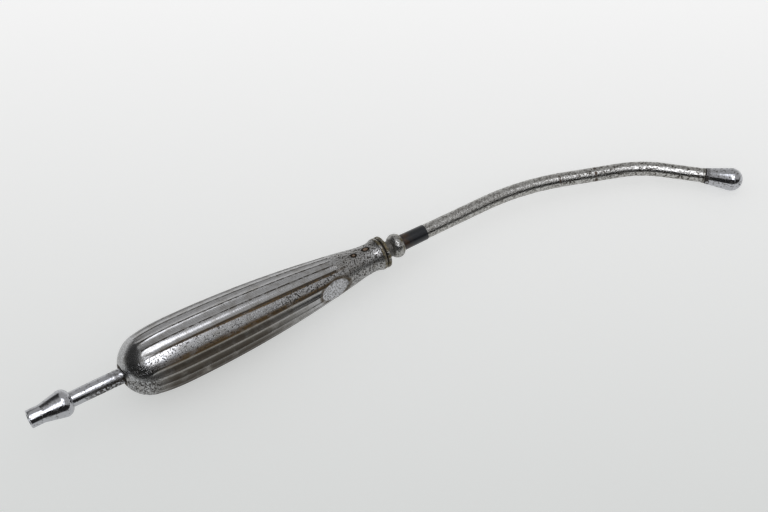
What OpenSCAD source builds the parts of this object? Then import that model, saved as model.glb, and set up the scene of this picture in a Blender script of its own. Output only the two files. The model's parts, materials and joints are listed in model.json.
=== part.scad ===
// Suction tube of an old surgical pattern: a hollow fluted handle with a hose nipple behind it
// and a bent tube with a screw-on ball tip in front of it. It lies at rest on a flat surface at
// z = 0, with +X along the handle towards the tip, and the tube bends towards -Y.
// Every piece is drawn along the handle's own axis, with x = 0 at the back of the dome, and
// at_rest() then lays the whole instrument down. All sizes are in millimetres.

/* [Handle] */
// Length of the two half shells, from the back of the dome to the collar's rim
shell_len = 102.6; // [90:0.1:115]
// Largest diameter of the handle
belly_d = 24.3; // [20:0.1:28]
// Amount by which the radius of the round dome behind falls short of the handle's largest
dome_step = 0.95; // [0.4:0.05:2]
// Radius of the shoulder that runs from the dome to the largest diameter
shoulder_r = 68.6; // [45:0.1:90]
// Outer diameter of the handle's neck, behind the rim
neck_d = 10.8; // [10:0.1:12]
// Length of the hollow curve between the long taper and the neck
neck_sweep = 6; // [4:0.1:9]
// Radius of the hollow curve that rises from the neck to the rim
flare_r = 6; // [3:0.1:9]
// Wall of the two pressed half shells
shell_wall = 1.3; // [1:0.05:1.5]

/* [Flutes] */
// Number of flutes on each half shell
flute_count = 9; // [6:1:12]
// Angle of each smooth band, where the two half shells meet
band_angle = 27; // [15:1:45]
// Radius of the round cutter that makes a flute
flute_r = 4; // [3:0.1:8]
// Depth of the flutes beyond that at which their arrises just meet
flute_bite = 0.05; // [0.02:0.01:0.15]
// Radius on which the flutes fall over the shoulder, to end on the dome
flute_fall_r = 105; // [80:1:160]
// Length of the fluted stretch in front of the largest diameter
flute_run = 59; // [45:0.5:62]
// Radius on which the cutter lifts out at the front
flute_lift_r = 30; // [15:1:60]

/* [Finger flat] */
// Diameter of the round cutter that sinks the flat
flat_d = 11.5; // [8:0.1:13]
// Distance of the flat's middle from the back of the dome
flat_pos = 81; // [76:0.1:86]
// Depth of the flat below the taper
flat_depth = 0.8; // [0.4:0.05:0.9]
// Angle round the handle from the middle of the smooth band to the flat
flat_angle = 38; // [20:1:60]

/* [Stem and hose nipple] */
// Outer diameter of the straight tube through the handle
stem_d = 5.5; // [5:0.1:6]
// Wall of the straight tube
stem_wall = 0.6; // [0.4:0.05:0.8]
// Length of the stem that shows between the nipple and the dome
stem_show = 18; // [10:0.5:30]
// Length of the olive-shaped hose nipple
nipple_len = 15.2; // [13:0.1:22]
// Largest diameter of the nipple
nipple_d = 9.7; // [8.5:0.1:12]
// Diameter of the nipple's plain end, on which the hose starts
nipple_end_d = 6.5; // [6.3:0.1:8]
// Length of the plain end
nipple_end_len = 4.6; // [3:0.1:6]
// Length of the round shoulder between the nipple's largest diameter and the stem
nipple_shoulder = 3; // [2:0.1:4.5]
// Depth to which the stem is let into the nipple
nipple_socket = 6; // [4:0.5:8]

/* [Rear bush] */
// Diameter of the bush where it shows in the dome
bush_d = 8.2; // [7.5:0.1:10]
// Length of the bush
bush_len = 8; // [6:0.5:12]
// Diameter of the bush's flange, which seats inside the dome
bush_flange_d = 12; // [11:0.5:14]
// Thickness of that flange
bush_flange_t = 1.5; // [1:0.1:2.5]
// Depth of the dark countersink round the stem
bush_sink = 0.6; // [0.2:0.1:0.9]

/* [Collar and coupling] */
// Diameter of the two rims that meet at the front of the handle
rim_d = 12.2; // [12.1:0.1:15]
// Thickness of each rim
rim_t = 1.35; // [1:0.05:2]
// Length of the collar that is soldered inside the neck
collar_len = 14; // [12:0.5:18]
// Diameter of the collar's thread, over its grooves
screw_d = 6.8; // [6.4:0.1:7.2]
// Pitch of the coupling's thread
screw_pitch = 1; // [0.6:0.1:1.2]
// Turns of thread on the coupling's spigot
screw_turns = 5; // [3:1:6]
// Plain length of the spigot, beyond its thread
screw_plain = 1.2; // [0.6:0.1:2]
// Thickness of the sealing washer between the rims
seal_t = 0.35; // [0.2:0.05:0.6]
// Diameter of the waist in front of the rim
waist_d = 6.1; // [5.6:0.1:7.5]
// Length of the waist
waist_len = 2.8; // [2:0.1:5]
// Radius of the hollow curve between rim and waist
waist_fillet = 0.9; // [0.4:0.1:1.5]
// Diameter of the bead
bead_d = 9.1; // [8.2:0.1:11]
// Length of the bead
bead_len = 4.6; // [3.8:0.1:6]
// Distance of the bead's largest diameter from its back
bead_peak = 2.4; // [1.8:0.1:3]
// Depth to which the bent tube is let into the bead
bead_socket = 3.4; // [2:0.1:3.6]

/* [Bent tube] */
// Outer diameter of the bent tube
tube_d = 5.5; // [5.2:0.1:5.8]
// Wall of the bent tube
tube_wall = 0.6; // [0.4:0.05:0.8]
// Straight length in front of the bead
lead_len = 37; // [25:0.5:60]
// Radius of the long first bend, on the tube's middle line
bend1_r = 105; // [60:1:160]
// Angle of the first bend
bend1_angle = 19; // [5:0.5:35]
// Straight length between the bends
mid_len = 22; // [10:0.5:40]
// Radius of the second bend
bend2_r = 46; // [25:1:80]
// Angle of the second bend
bend2_angle = 22.5; // [5:0.5:40]
// Straight length behind the tip
end_len = 14.2; // [9:0.1:30]
// Length of the black sleeve in front of the bead
sleeve_len = 10.4; // [5:0.1:16]
// Wall of the sleeve beside the bead
sleeve_wall = 0.28; // [0.15:0.01:0.4]
// Wall of the sleeve at its front end
sleeve_end_wall = 0.16; // [0.1:0.01:0.3]

/* [Ball tip] */
// Length of the tip
tip_len = 14.2; // [12:0.1:20]
// Diameter of the ball
ball_d = 8.8; // [7.5:0.1:11]
// Diameter of the tip at its back
tip_back_d = 6.1; // [5.8:0.1:7]
// Diameter of the suction eye in the end of the ball
eye_d = 2.4; // [1.5:0.1:3]
// Wall of the hollow ball
ball_wall = 1; // [0.7:0.05:1.4]
// Diameter of the tip's thread, over its grooves
tip_screw_d = 4.3; // [4:0.1:4.6]
// Pitch of the tip's thread
tip_pitch = 0.75; // [0.5:0.05:0.9]
// Turns of thread on the spigot that carries the tip
tip_turns = 4; // [3:1:4]
// Plain length of that spigot, beyond its thread
tip_plain = 0.8; // [0.5:0.1:1]
// Diameter of the shoulder ring on the tube's end
ring_d = 5.8; // [5.6:0.1:6.5]
// Thickness of the shoulder ring
ring_t = 0.9; // [0.6:0.1:1.5]
// Length of the end bush that is let into the tube
end_bush_len = 5; // [3:0.5:8]
// Bore of the end bush
end_bush_bore = 2.8; // [2:0.1:3]

/* [Fits] */
// Radial play of the screwed joints
screw_play = 0.08; // [0.03:0.01:0.1]
// Radial play of a washer round its spigot
seal_play = 0.15; // [0.05:0.05:0.2]
// Gap on either side of a washer, which the threads close when they are tightened
seal_gap = 0.02; // [0.01:0.01:0.05]
// Free depth beyond the end of a spigot
thread_relief = 0.8; // [0.4:0.1:1.2]

/* [Hidden] */
round_fn = 96;
far = 60;

// Rows of points along each stretch of the handle, and columns across a band and a flute
dome_rows = 6;
shoulder_rows = 7;
taper_rows = 14;
sweep_rows = 2;
flare_rows = 4;
band_columns = 2;
flute_columns = 4;

// Steps along the round stretches of the nipple and the ball
nipple_steps = 16;
ball_steps = 24;

// Angle between two rings of the bent tube's bends, and sides of a ring
bend_step = 2;
tube_sides = 32;

// Radii
belly_r = belly_d / 2;
neck_r = neck_d / 2;
rim_r = rim_d / 2;
stem_r = stem_d / 2;
stem_bore_r = stem_r - stem_wall;
tube_r = tube_d / 2;
tube_bore_r = tube_r - tube_wall;
nipple_r = nipple_d / 2;
nipple_end_r = nipple_end_d / 2;
bush_r = bush_d / 2;
waist_r = waist_d / 2;
bead_r = bead_d / 2;
ball_r = ball_d / 2;
screw_r = screw_d / 2;
tip_screw_r = tip_screw_d / 2;

// Lengths of the two threaded spigots
screw_len = screw_turns * screw_pitch + screw_plain;
tip_screw_len = tip_turns * tip_pitch + tip_plain;

// The handle's outline is four arcs that run into each other without a corner: dome, shoulder,
// taper and sweep. Two arcs that touch have their middles on one line with the touching point.
dome_r = belly_r - dome_step;
dome_pos = dome_r;
dome_rise = shoulder_r - belly_r;
dome_back = sqrt(pow(shoulder_r - dome_r, 2) - dome_rise * dome_rise);
belly_pos = dome_pos + dome_back;
flare_rise = rim_r - neck_r;
flare_len = sqrt(2 * flare_r * flare_rise - flare_rise * flare_rise);
neck_pos = shell_len - flare_len;
taper_span = neck_pos - belly_pos;
taper_drop = belly_r - neck_r;
taper_and_sweep_r = (taper_span * taper_span + taper_drop * taper_drop) / (2 * taper_drop);
sweep_r = taper_and_sweep_r * neck_sweep / taper_span;
taper_r = taper_and_sweep_r - sweep_r;

// Radius of the taper at a place between the belly and the sweep
function taper_at(x) = belly_r - taper_r + sqrt(taper_r * taper_r - pow(x - belly_pos, 2));

// The middle of a flute's round cutter runs on three arcs: it falls over the shoulder more slowly
// than the shoulder does, follows the taper, and lifts out at the front. Its distance from the
// axis lets two neighbours meet in an arris.
flute_pitch = (180 - band_angle) / flute_count;
half_pitch = flute_pitch / 2;
function cutter_over(r) =
    r * cos(half_pitch) + sqrt(flute_r * flute_r - pow(r * sin(half_pitch), 2)) - flute_bite;
cutter_belly = cutter_over(belly_r);
cutter_front = cutter_over(taper_at(belly_pos + flute_run));
cutter_drop = cutter_belly - cutter_front;
cutter_arc_r = (flute_run * flute_run + cutter_drop * cutter_drop) / (2 * cutter_drop);
cutter_slope = asin(flute_run / cutter_arc_r);
cutter_lift_pos = belly_pos + flute_run + flute_lift_r * sin(cutter_slope);
function arc_fall(r, x) = r - sqrt(r * r - x * x);
function cutter_at(x) =
    x < belly_pos ? cutter_belly - arc_fall(flute_fall_r, x - belly_pos) :
    x < belly_pos + flute_run ? cutter_belly - arc_fall(cutter_arc_r, x - belly_pos) :
    cutter_front - arc_fall(flute_lift_r, flute_lift_r * sin(cutter_slope))
        + arc_fall(flute_lift_r, min(x - cutter_lift_pos, flute_lift_r));

// Radius of a flute's hollow at a place along the axis, turned by angle from the flute's middle
function flute_at(x, angle) =
    let (mid = cutter_at(x), room = flute_r * flute_r - pow(mid * sin(angle), 2))
    room < 0 ? far : mid * cos(angle) - sqrt(room);

// The smooth band leans from straight up so far that the handle lies on two arrises
rest_flute = 2;
band_lean = band_angle / 2 + (rest_flute - 0.5) * flute_pitch;

// Places along the axis
rim_face = shell_len + rim_t;
seal_pos = rim_face + seal_gap;
coupling_pos = seal_pos + seal_t + seal_gap;
waist_pos = coupling_pos + rim_t;
bead_pos = waist_pos + waist_len;
bead_front = bead_pos + bead_len;
nipple_pos = -stem_show - nipple_len;
stem_front = rim_face - screw_len - thread_relief;
tip_seal_pos = ring_t + seal_gap;
tip_seat = tip_seal_pos + seal_t + seal_gap;
ball_pos = tip_len - ball_r;

// Middle of the ball, along the bent tube, seen from above
both_bends = bend1_angle + bend2_angle;
tip_reach = end_len + tip_seat + ball_pos;
ball_x = bead_front + lead_len + bend1_r * sin(bend1_angle) + mid_len * cos(bend1_angle)
    + bend2_r * (sin(both_bends) - sin(bend1_angle)) + tip_reach * cos(both_bends);
ball_y = -bend1_r * (1 - cos(bend1_angle)) - mid_len * sin(bend1_angle)
    - bend2_r * (cos(bend1_angle) - cos(both_bends)) - tip_reach * sin(both_bends);

// The instrument lies on the belly's two lowest arrises and on the ball. The tilt at which one
// flat surface touches both is found in a few steps, each from the last.
arris_share = cos(half_pitch);
function touch_x(tilt) = belly_pos + taper_r * sin(atan(tan(tilt) / arris_share));
function touch_r(x) = arris_share * (taper_at(x) - flute_bite);
function settle(tilt, steps) = steps == 0 ? tilt :
    settle(asin((touch_r(touch_x(tilt)) * cos(tilt) - ball_r) / (ball_x - touch_x(tilt))), steps - 1);
rest_tilt = settle(0, 12);
rest_touch = touch_x(rest_tilt);
rest_height = rest_touch * sin(rest_tilt) + touch_r(rest_touch) * cos(rest_tilt);

// Middle of the instrument's box, seen from above
low_x = nipple_pos * cos(rest_tilt) - nipple_end_r * sin(rest_tilt);
high_x = ball_x * cos(rest_tilt) + ball_r;
low_y = ball_y - ball_r;
high_y = belly_r - flute_bite;

// Lays the instrument on the surface, with the middle of its box over the origin
module at_rest() {
    translate([-(low_x + high_x) / 2, -(low_y + high_y) / 2, rest_height])
        rotate([0, rest_tilt, 0])
            children();
}

// Revolves an outline, drawn as radius and place along the axis, about the X axis
module revolve() {
    rotate([0, 90, 0])
        rotate_extrude($fn = round_fn)
            children();
}

// Everything between two places along an outline's axis, out to a radius
module stretch(from, to, r) {
    translate([0, from])
        square([r, to - from]);
}

// Straight round bar along the X axis
module bar(from, to, r) {
    translate([from, 0, 0])
        rotate([0, 90, 0])
            cylinder(h = to - from, r = r, $fn = round_fn);
}

// Revolves a wall between an outer and an inner profile, both given from back to front as points
// [place along the axis, radius]
module turned_wall(outer, inner) {
    last = len(inner) - 1;
    revolve()
        polygon([for (p = outer) [p[1], p[0]], for (i = [0 : last]) [inner[last - i][1], inner[last - i][0]]]);
}

// A list of even steps from one value to another
function steps(from, to, count) = [for (i = [0 : count]) from + (to - from) * i / count];

// Point of an outline, as [place along the axis, radius], where an arc round mid has a slope
function on_arc(mid, r, slope) = [mid[0] - r * sin(slope), mid[1] + r * cos(slope)];

// Slope of the line that rises from p and touches the circle round mid
function touch_slope(p, mid, r) = atan2(mid[0] - p[0], p[1] - mid[1]) - acos(r / norm(p - mid));

// The handle's outline from the bush to the rim, each row moved inwards by inset: the dome, the
// shoulder, the taper, the hollow sweep into the neck and the flare up to the rim
function handle_rows(inset) =
    let (
        hole = acos(bush_r / (dome_r - inset)),
        shoulder = asin(dome_back / (shoulder_r - dome_r)),
        taper = -asin(taper_span / taper_and_sweep_r),
        flare = acos(1 - flare_rise / flare_r)
    )
    concat(
        [for (a = steps(hole, shoulder, dome_rows)) on_arc([dome_pos, 0], dome_r - inset, a)],
        [for (a = steps(shoulder, 0, shoulder_rows))
            if (a < shoulder) on_arc([belly_pos, belly_r - shoulder_r], shoulder_r - inset, a)],
        [for (a = steps(0, taper, taper_rows))
            if (a < 0) on_arc([belly_pos, belly_r - taper_r], taper_r - inset, a)],
        [for (a = steps(taper, 0, sweep_rows))
            if (a > taper) on_arc([neck_pos, neck_r + sweep_r], -sweep_r - inset, a)],
        [for (a = steps(0, flare, flare_rows))
            if (a > 0) inset > 0 ? [neck_pos + flare_r * sin(a), neck_r - inset] :
                [neck_pos + flare_r * sin(a), neck_r + flare_r * (1 - cos(a))]]
    );

// Angles round the axis at which a half shell has a column of points, from seam to seam
shell_angles = concat(
    [for (a = steps(0, band_angle / 2, band_columns)) if (a < band_angle / 2) a],
    steps(band_angle / 2, 180 - band_angle / 2, flute_count * flute_columns),
    [for (a = steps(180 - band_angle / 2, 180, band_columns)) if (a > 180 - band_angle / 2) a]
);

// Radius of the fluted skin: the outline's, or the flute's where that lies deeper
function skin_at(x, r, angle) =
    let (across = (angle - band_angle / 2) / flute_pitch)
    across < 0 || across > flute_count ? r :
    min(r, flute_at(x, (across - min(floor(across), flute_count - 1) - 0.5) * flute_pitch));

// Two triangles between four corners
function patch(a, b, c, d) = [[a, b, c], [a, c, d]];

// Faces of a wall between an outer and an inner grid of points, with rows along the axis and
// columns round it. An open wall, such as a half shell, also gets faces along both its seams.
function wall_faces(rows, columns, open) =
    let (
        outer = function (i, j) i * columns + j % columns,
        inner = function (i, j) rows * columns + outer(i, j),
        front = rows - 1,
        seam = columns - 1
    )
    concat(
        [for (i = [0 : rows - 2], j = [0 : columns - (open ? 2 : 1)], face = concat(
            patch(outer(i, j), outer(i, j + 1), outer(i + 1, j + 1), outer(i + 1, j)),
            patch(inner(i, j), inner(i + 1, j), inner(i + 1, j + 1), inner(i, j + 1)))) face],
        [for (j = [0 : columns - (open ? 2 : 1)], face = concat(
            patch(outer(0, j), inner(0, j), inner(0, j + 1), outer(0, j + 1)),
            patch(outer(front, j), outer(front, j + 1), inner(front, j + 1), inner(front, j)))) face],
        !open ? [] : [for (i = [0 : rows - 2], face = concat(
            patch(outer(i, 0), outer(i + 1, 0), inner(i + 1, 0), inner(i, 0)),
            patch(outer(i, seam), inner(i, seam), inner(i + 1, seam), outer(i + 1, seam)))) face]
    );

// One pressed half shell with its flutes, on the side of the seam that side names. The inner
// wall's facets touch the true radius from outside, so that what sits in it fits.
module fluted_shell(side) {
    outer = handle_rows(0);
    inner = handle_rows(shell_wall);
    open_out = 1 / cos(half_pitch / flute_columns);
    grid = concat(
        [for (row = outer, a = shell_angles)
            let (r = skin_at(row[0], row[1], a)) [row[0], side * r * sin(a), r * cos(a)]],
        [for (row = inner, a = shell_angles)
            let (r = row[1] * open_out) [row[0], side * r * sin(a), r * cos(a)]]
    );
    faces = wall_faces(len(outer), len(shell_angles), true);
    polyhedron(grid, side > 0 ? faces : [for (f = faces) [f[2], f[1], f[0]]], convexity = 8);
}

// The round pocket that makes the finger flat, square to the taper under it
module flat_cutter() {
    surface_r = taper_at(flat_pos);
    slope = asin((flat_pos - belly_pos) / taper_r);
    rotate([flat_angle, 0, 0])
        translate([flat_pos, 0, surface_r])
            rotate([0, slope, 0])
                translate([0, 0, -flat_depth])
                    cylinder(h = belly_r, d = flat_d, $fn = round_fn);
}

// Turns the half shells from smooth bands straight up and down to where the handle rests
module leaned() {
    at_rest()
        rotate([band_lean, 0, 0])
            children();
}

module handle_shell_upper() {
    color("silver")
        leaned()
            fluted_shell(1);
}

module handle_shell_lower() {
    color("gainsboro")
        leaned()
            difference() {
                fluted_shell(-1);
                flat_cutter();
            }
}

// Olive-shaped nipple: a plain end, a cone and a round shoulder that falls to the stem
module hose_nipple() {
    rise = nipple_r - stem_r;
    olive_r = (nipple_shoulder * nipple_shoulder + rise * rise) / (2 * rise);
    olive_mid = [-stem_show - nipple_shoulder, nipple_r - olive_r];
    cone_start = [nipple_pos + nipple_end_len, nipple_end_r];
    cone_slope = touch_slope(cone_start, olive_mid, olive_r);
    foot_slope = -asin(nipple_shoulder / olive_r);
    socket_pos = -stem_show - nipple_socket;
    color("whitesmoke")
        at_rest()
            turned_wall(
                concat([[nipple_pos, nipple_end_r], cone_start],
                    [for (a = steps(cone_slope, foot_slope, nipple_steps)) on_arc(olive_mid, olive_r, a)]),
                [[nipple_pos, stem_bore_r], [socket_pos, stem_bore_r], [socket_pos, stem_r]]);
}

// Straight tube from the nipple's socket through the handle to the collar
module stem_tube() {
    color("lightgray")
        at_rest()
            difference() {
                bar(-stem_show - nipple_socket, stem_front, stem_r);
                bar(-stem_show - nipple_socket - 1, stem_front + 1, stem_bore_r);
            }
}

// Bush that holds the stem in the dome, with a flange inside and a countersink outside
module rear_bush() {
    back = dome_pos - sqrt(dome_r * dome_r - bush_r * bush_r);
    inner_r = dome_r - shell_wall;
    flange_pos = dome_pos - sqrt(inner_r * inner_r - bush_flange_d * bush_flange_d / 4);
    color("darkgoldenrod")
        at_rest()
            difference() {
                union() {
                    bar(back, back + bush_len, bush_r);
                    bar(flange_pos, flange_pos + bush_flange_t, bush_flange_d / 2);
                }
                bar(back - 1, back + bush_len + 1, stem_r);
                translate([back, 0, 0])
                    rotate([0, 90, 0])
                        cylinder(h = bush_sink, r1 = stem_r + bush_sink, r2 = stem_r, $fn = round_fn);
            }
}

// A thin disc with a round edge, drawn as an outline
module rim_outline(from, thick, r) {
    edge = thick / 2;
    stretch(from, from + thick, r - edge);
    translate([r - edge, from + edge])
        circle(r = edge, $fn = round_fn);
}

// Threaded collar in the handle's neck, with the first of the two rims
module front_collar() {
    back = shell_len - collar_len;
    color("goldenrod")
        at_rest()
            difference() {
                revolve() {
                    stretch(back, shell_len, neck_r - shell_wall);
                    rim_outline(shell_len, rim_t, rim_r);
                }
                bar(back - 1, rim_face, stem_r);
                bar(stem_front, rim_face + 1, screw_r);
            }
}

// Flat sealing washer that shows as a dark line between the rims
module coupling_seal() {
    color("saddlebrown")
        at_rest()
            difference() {
                bar(seal_pos, seal_pos + seal_t, rim_r - rim_t / 2);
                bar(rim_face, coupling_pos, screw_r - screw_play + seal_play);
            }
}

// Coupling of the bent tube: spigot, second rim, waist and bead, turned in one piece
module tube_coupling() {
    rise = bead_r - waist_r;
    bead_curve_r = (bead_peak * bead_peak + rise * rise) / (2 * rise);
    color("darkgray")
        at_rest()
            difference() {
                revolve() {
                    stretch(coupling_pos - screw_len, coupling_pos, screw_r - screw_play);
                    rim_outline(coupling_pos, rim_t, rim_r);
                    stretch(waist_pos, bead_pos, waist_r);
                    difference() {
                        stretch(waist_pos, waist_pos + waist_fillet, waist_r + waist_fillet);
                        translate([waist_r + waist_fillet, waist_pos + waist_fillet])
                            circle(r = waist_fillet, $fn = round_fn);
                    }
                    intersection() {
                        stretch(bead_pos, bead_front, far);
                        translate([bead_r - bead_curve_r, bead_pos + bead_peak])
                            circle(r = bead_curve_r, $fn = round_fn);
                    }
                }
                bar(coupling_pos - screw_len - 1, bead_front, tube_bore_r);
                bar(bead_front - bead_socket, bead_front + 1, tube_r);
            }
}

// Moves to the end of a bend that starts at the origin along +X and turns towards -Y
module past_bend(r, angle) {
    translate([r * sin(angle), -r * (1 - cos(angle)), 0])
        rotate([0, 0, -angle])
            children();
}

// Moves to the front end of the bent tube
module at_tube_end() {
    translate([bead_front + lead_len, 0, 0])
        past_bend(bend1_r, bend1_angle)
            translate([mid_len, 0, 0])
                past_bend(bend2_r, bend2_angle)
                    translate([end_len, 0, 0])
                        children();
}

// Rings of the tube's middle line, as [x, y, heading]: straight ends and even steps in the bends
function bend_rings(at, r, angle) =
    let (count = ceil(angle / bend_step))
    [for (a = steps(0, angle, count))
        [at[0] + r * (sin(at[2] + a) - sin(at[2])), at[1] - r * (cos(at[2]) - cos(at[2] + a)), at[2] + a]];
function ahead(at, length) = [at[0] + length * cos(at[2]), at[1] - length * sin(at[2]), at[2]];
function tube_rings() =
    let (
        first = bend_rings([bead_front + lead_len, 0, 0], bend1_r, bend1_angle),
        second = bend_rings(ahead(first[len(first) - 1], mid_len), bend2_r, bend2_angle)
    )
    concat([[bead_front - bead_socket, 0, 0]], first, second, [ahead(second[len(second) - 1], end_len)]);

// One round tube in one piece, drawn along its rings. Its outer corners lie on the true radius
// and its bore's facets touch theirs, so that it fits in its socket and its bush fits in it.
module bent_tube() {
    rings = tube_rings();
    round = [for (j = [0 : tube_sides - 1]) -360 * j / tube_sides];
    function wall(r) = [for (ring = rings, a = round)
        [ring[0] + r * cos(a) * sin(ring[2]), ring[1] + r * cos(a) * cos(ring[2]), r * sin(a)]];
    color("silver")
        at_rest()
            polyhedron(
                concat(wall(tube_r), wall(tube_bore_r / cos(180 / tube_sides))),
                wall_faces(len(rings), tube_sides, false), convexity = 8);
}

// Thin black sleeve that covers the joint between bead and tube
module tube_sleeve() {
    color("black")
        at_rest()
            difference() {
                translate([bead_front, 0, 0])
                    rotate([0, 90, 0])
                        cylinder(h = sleeve_len, r1 = tube_r + sleeve_wall,
                            r2 = tube_r + sleeve_end_wall, $fn = round_fn);
                bar(bead_front - 1, bead_front + sleeve_len + 1, tube_r);
            }
}

// Bush in the tube's end, with a shoulder ring and the spigot that carries the tip
module tip_bush() {
    color("peru")
        at_rest()
            at_tube_end()
                difference() {
                    union() {
                        bar(-end_bush_len, 0, tube_bore_r);
                        bar(0, ring_t, ring_d / 2);
                        bar(0, tip_seat + tip_screw_len, tip_screw_r - screw_play);
                    }
                    bar(-end_bush_len - 1, tip_seat + tip_screw_len + 1, end_bush_bore / 2);
                }
}

module tip_seal() {
    color("saddlebrown")
        at_rest()
            at_tube_end()
                difference() {
                    bar(tip_seal_pos, tip_seal_pos + seal_t, ring_d / 2);
                    bar(ring_t, tip_seat, tip_screw_r - screw_play + seal_play);
                }
}

// Hollow ball tip: a threaded skirt that widens to the ball, with one eye in its end
module ball_tip() {
    back = [0, tip_back_d / 2];
    ball_mid = [ball_pos, 0];
    thread_end = tip_screw_len + thread_relief;
    inner_r = ball_r - ball_wall;
    bore_r = end_bush_bore / 2;
    eye_r = eye_d / 2;
    color("white")
        at_rest()
            at_tube_end()
                translate([tip_seat, 0, 0])
                    turned_wall(
                        concat([back], [for (a = steps(
                            touch_slope(back, ball_mid, ball_r), -acos(eye_r / ball_r), ball_steps))
                            on_arc(ball_mid, ball_r, a)]),
                        concat([[0, tip_screw_r], [thread_end, tip_screw_r], [thread_end, bore_r]],
                            [for (a = steps(acos(bore_r / inner_r), -acos(eye_r / inner_r), ball_steps))
                                on_arc(ball_mid, inner_r, a)]));
}

hose_nipple();
stem_tube();
rear_bush();
handle_shell_upper();
handle_shell_lower();
front_collar();
coupling_seal();
tube_coupling();
bent_tube();
tube_sleeve();
tip_bush();
tip_seal();
ball_tip();
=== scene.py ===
# %% [markdown]
# # A plated suction tube, dressed in Blender
# The object is an old surgical suction tube: a hose nipple and a stem behind, a hollow handle of
# two fluted half shells, and a bent tube with a ball tip in front. The imported model gives every
# piece its place and its motion. Here each piece gets a finer skin and the finish of old,
# worn plating. We start by loading the model.

# %% Load the imported model
import json
import math

import bpy
import numpy as np
from mathutils import Matrix, Vector


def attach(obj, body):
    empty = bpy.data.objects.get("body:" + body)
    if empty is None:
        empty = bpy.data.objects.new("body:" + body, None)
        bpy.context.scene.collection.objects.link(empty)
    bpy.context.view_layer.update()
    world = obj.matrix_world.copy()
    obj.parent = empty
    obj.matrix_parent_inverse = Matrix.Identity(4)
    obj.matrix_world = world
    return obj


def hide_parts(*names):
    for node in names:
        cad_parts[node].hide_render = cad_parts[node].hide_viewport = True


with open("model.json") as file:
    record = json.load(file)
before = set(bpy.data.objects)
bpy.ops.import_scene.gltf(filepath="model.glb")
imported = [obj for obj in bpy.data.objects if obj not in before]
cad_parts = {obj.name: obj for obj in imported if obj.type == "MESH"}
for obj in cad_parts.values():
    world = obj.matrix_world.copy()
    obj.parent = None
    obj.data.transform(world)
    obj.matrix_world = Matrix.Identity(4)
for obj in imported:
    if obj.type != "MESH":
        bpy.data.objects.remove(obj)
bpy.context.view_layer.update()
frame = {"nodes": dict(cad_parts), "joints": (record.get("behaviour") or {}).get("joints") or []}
print("nodes:", ", ".join(sorted(frame["nodes"])))

# %% [markdown]
# Turned pieces are drawn best along their own axis, in millimetres, as a lathe hand would. The
# instrument lies slightly tilted, so typing tilted coordinates would be error-prone. The joints
# already know the two axes: the coupling turns about the handle's axis and the tip about its own.
# So each frame comes from a joint, and `place` says where on our drawing the joint's seat is.

# %% Frames of the handle and of the tip
MM = 0.001
RIM_FACE = 103.95
SEAL, SEAL_GAP = 0.35, 0.02
COUPLING = RIM_FACE + SEAL + 2 * SEAL_GAP

joints = {joint["name"]: joint for joint in frame["joints"]}
handle_up = Vector(joints["coupling_turn"]["axis"]).cross(Vector((0, 1, 0))).normalized()


def joint_frame(joint, place):
    """Matrix from millimetres along a joint's axis to the model's metres."""
    along = Vector(joint["axis"]).normalized()
    across = handle_up.cross(along)
    turn = Matrix((along, across, handle_up)).transposed().to_4x4()
    seat = Matrix.Translation(Vector(joint["pos_m"]))
    return seat @ turn @ Matrix.Scale(MM, 4) @ Matrix.Translation((-place, 0, 0))


handle_frame = joint_frame(joints["coupling_turn"], COUPLING)
tip_frame = joint_frame(joints["tip_turn"], 0)
print("dome's back:", [round(v, 4) for v in handle_frame.translation])

# %% [markdown]
# Nearly everything here is a grid of points: rows along the piece and columns round it. A screw
# modifier would do for the plain turned pieces, but the flutes, the threads and the bends need a
# grid anyway, so one function makes them all. Each point also keeps its place on our drawing in
# real millimetres, as a mesh attribute, which the marks of tools and of rust follow later.

# %% One function that makes a mesh from a grid of points
SHARP_EDGE = math.radians(38)


def store(mesh, name, kind, values):
    """Keeps one value or vector for each point of the mesh, for its material to read."""
    field = "vector" if kind == "FLOAT_VECTOR" else "value"
    attribute = mesh.attributes.new(name, kind, "POINT")
    attribute.data.foreach_set(field, np.asarray(values, np.float32).ravel())


def skin(name, grid, to_model, body, slot, nodes=(), drawn=None, open_ends=False, **values):
    """A closed mesh over grid[row, column] in millimetres. Columns close, and so do rows, unless
    the ends are open: then a ring is an outer half and an inner half, and its ends are capped."""
    grid = np.asarray(grid, float)
    rows, columns = grid.shape[:2]
    matrix = np.array(to_model)
    points = grid.reshape(-1, 3) @ matrix[:3, :3].T + matrix[:3, 3]
    index = np.arange(rows * columns).reshape(rows, columns)
    here = index[:-1] if open_ends else index
    after = index[1:] if open_ends else np.roll(index, -1, 0)
    faces = np.stack([here, np.roll(here, -1, 1), np.roll(after, -1, 1), after], -1).reshape(-1, 4)
    if open_ends:
        outer = np.arange(columns // 2 - 1)
        inner = columns - 1 - outer
        for ring, turn in ((index[0], -1), (index[-1], 1)):
            cap = np.stack([ring[outer], ring[outer + 1], ring[inner - 1], ring[inner]], -1)
            faces = np.concatenate([faces, cap[:, ::turn]])
    a, b, c, d = (points[faces[:, k]] for k in range(4))
    volume = np.sum(a * np.cross(b, c)) + np.sum(a * np.cross(c, d))
    if volume < 0:
        faces = faces[:, ::-1]
    mesh = bpy.data.meshes.new(name)
    mesh.from_pydata(points, [], faces)
    mesh.update()
    mesh.shade_smooth()
    mesh.set_sharp_from_angle(angle=SHARP_EDGE)
    store(mesh, "mm", "FLOAT_VECTOR", grid if drawn is None else drawn)
    for label, field in values.items():
        store(mesh, label, "FLOAT", field)
    piece = bpy.data.objects.new(name, mesh)
    bpy.context.scene.collection.objects.link(piece)
    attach(piece, body)
    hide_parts(*nodes)
    print(f"{name}: {len(faces)} faces, {abs(volume) / 6 / MM ** 3:.0f} mm3")
    return piece


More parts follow.
